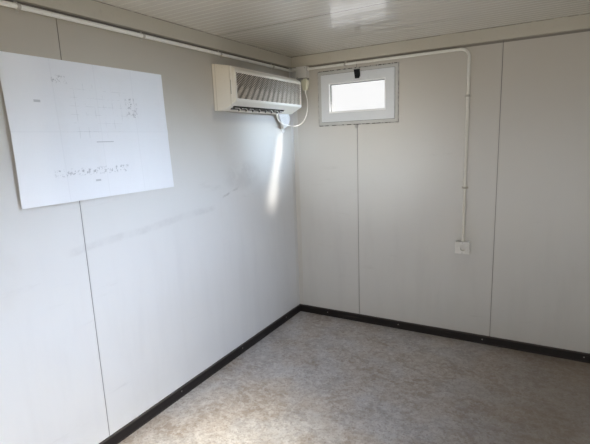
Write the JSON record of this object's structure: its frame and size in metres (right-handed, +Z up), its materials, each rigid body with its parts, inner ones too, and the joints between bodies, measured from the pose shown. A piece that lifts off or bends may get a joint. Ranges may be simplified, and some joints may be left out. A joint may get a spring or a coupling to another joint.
{
  "type": "corner module of a portable site cabin",
  "caption": "Open-sided corner module of a portable site cabin: steel frame, sandwich panel walls and roof, floor, high window, wall cooling unit and surface wiring.",
  "frame": {"origin": "at ground level under the middle of the module's footprint", "axes": "+X along the end wall, away from the long wall; +Y out through the end wall; +Z up"},
  "size_m": [2.41, 3.06, 2.445],
  "materials": {
    "frame_paint": "semi-gloss paint on rolled steel",
    "wall_panel": "satin coil coating, scuffed",
    "roof_panel": "glossy coil coating with fine ribs",
    "trim_paint": "satin coil coating",
    "skirting": "dark, worn",
    "floor_board": "raw cement-bonded board",
    "floor_vinyl": "speckled sheet vinyl",
    "window_white": "white extruded section",
    "window_glass": "clear pane",
    "handle_black": "black moulded",
    "cooler_shell": "yellowed moulding",
    "cooler_grille": "yellowed slats",
    "cooler_louvre": "moulded blades",
    "pipe_wrap": "wound vinyl tape",
    "cord_white": "smooth white sheath",
    "plug_cream": "moulded cream plastic",
    "wiring_grey": "grey moulded box",
    "conduit_cream": "extruded conduit",
    "socket_white": "moulded socket box",
    "paper": "printed drawing sheet"
  },
  "bodies": {
    "root": {"base_rail_far": "frame_paint", "base_rail_left": "frame_paint", "base_rail_near": "frame_paint", "base_rail_right": "frame_paint", "conduit_clips": "conduit_cream", "conduit_end": "conduit_cream", "conduit_side": "conduit_cream", "cooler_back_case": "cooler_shell", "cooler_front": "cooler_shell", "cooler_grille": "cooler_grille", "cooler_housing": "cooler_shell", "cooler_louvres": "cooler_louvre", "cooler_pipe_bundle": "pipe_wrap", "cooler_plug": "plug_cream", "cooler_power_cord": "cord_white", "corner_post_far_left": "frame_paint", "corner_post_far_right": "frame_paint", "corner_post_near_left": "frame_paint", "corner_post_near_right": "frame_paint", "corner_trim": "trim_paint", "cornice_end": "trim_paint", "cornice_side": "trim_paint", "end_wall_panel_1": "wall_panel", "end_wall_panel_2": "wall_panel", "end_wall_panel_3": "wall_panel", "floor_board": "floor_board", "floor_joists": "frame_paint", "floor_vinyl": "floor_vinyl", "junction_box": "wiring_grey", "plan_sheet": "paper", "roof_panel_1": "roof_panel", "roof_panel_2": "roof_panel", "roof_panel_3": "roof_panel", "roof_rail_far": "frame_paint", "roof_rail_left": "frame_paint", "roof_rail_near": "frame_paint", "roof_rail_right": "frame_paint", "side_wall_panel_1": "wall_panel", "side_wall_panel_2": "wall_panel", "side_wall_panel_3": "wall_panel", "skirting_end": "skirting", "skirting_side": "skirting", "socket_box": "socket_white", "socket_insert": "socket_white", "window_frame": "window_white", "window_glass": "window_glass", "window_handle": "handle_black", "window_sash": "window_white"}
  },
  "joints": []
}
